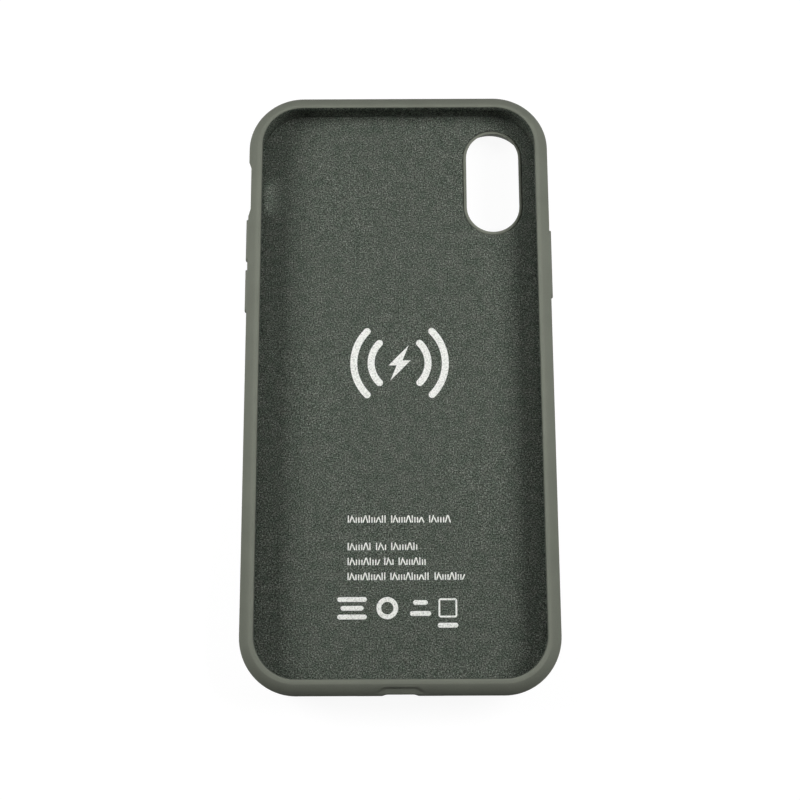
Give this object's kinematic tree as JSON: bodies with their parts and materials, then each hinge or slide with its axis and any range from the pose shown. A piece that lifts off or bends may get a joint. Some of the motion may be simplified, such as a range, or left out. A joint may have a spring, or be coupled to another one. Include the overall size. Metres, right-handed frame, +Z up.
{
  "type": "battery charging case",
  "caption": "Soft grey phone case with a rechargeable battery in its back, lined pocket, rounded rim, side key pads, flared camera opening, charge socket and power key.",
  "frame": {"origin": "middle of the back, on the surface that the case lies on", "axes": "+Z up out of the phone pocket, +Y towards the phone's top end, +X towards the side with the camera opening and the long key pad"},
  "size_m": [0.077, 0.1486, 0.0162],
  "materials": {
    "soft_cover": "matt soft-touch elastomer",
    "flock_cloth": "short-nap microfibre",
    "dark_plastic": "fine moulded texture",
    "key_plastic": "satin",
    "pouch_foil": "laminated foil",
    "tape": "double-sided tape",
    "board": "solder mask",
    "nickel": "plain strip",
    "steel": "drawn sheet",
    "gold": "plated",
    "copper_wire": "enamelled",
    "ferrite": "sintered sheet",
    "chip_epoxy": "moulded epoxy",
    "capacitor": "fired ceramic",
    "led_lens": "moulded lens",
    "light_pipe": "frosted clear",
    "red_lead": "silicone sleeve",
    "black_lead": "silicone sleeve"
  },
  "bodies": {
    "case": {"outer_cover": "soft_cover", "lining": "flock_cloth", "inner_tray": "dark_plastic", "deck_plate": "dark_plastic", "battery_cell": "pouch_foil", "cell_tape": "tape", "protection_board": "board", "protection_chips": "chip_epoxy", "cell_tabs": "nickel", "positive_lead": "red_lead", "negative_lead": "black_lead", "transmit_coil": "copper_wire", "coil_inner_lead": "copper_wire", "ferrite_sheet": "ferrite", "main_board": "board", "board_screws": "steel", "charge_port_shell": "steel", "charge_port_tongue": "chip_epoxy", "charge_port_contacts": "gold", "boost_inductor": "ferrite", "charge_chip": "chip_epoxy", "coil_driver_chip": "chip_epoxy", "resonant_capacitors": "capacitor", "filter_capacitors": "capacitor", "indicator_leds": "led_lens", "light_guide": "light_pipe", "power_switch": "chip_epoxy"},
    "key": {"power_button": "key_plastic", "switch_plunger": "key_plastic"}
  },
  "joints": [
    {"name": "key_press", "type": "slide", "parent": "case", "child": "key", "axis": [0, 0, 1], "range_m": [0, 0.0003], "stiffness_N_per_m": 3000}
  ]
}
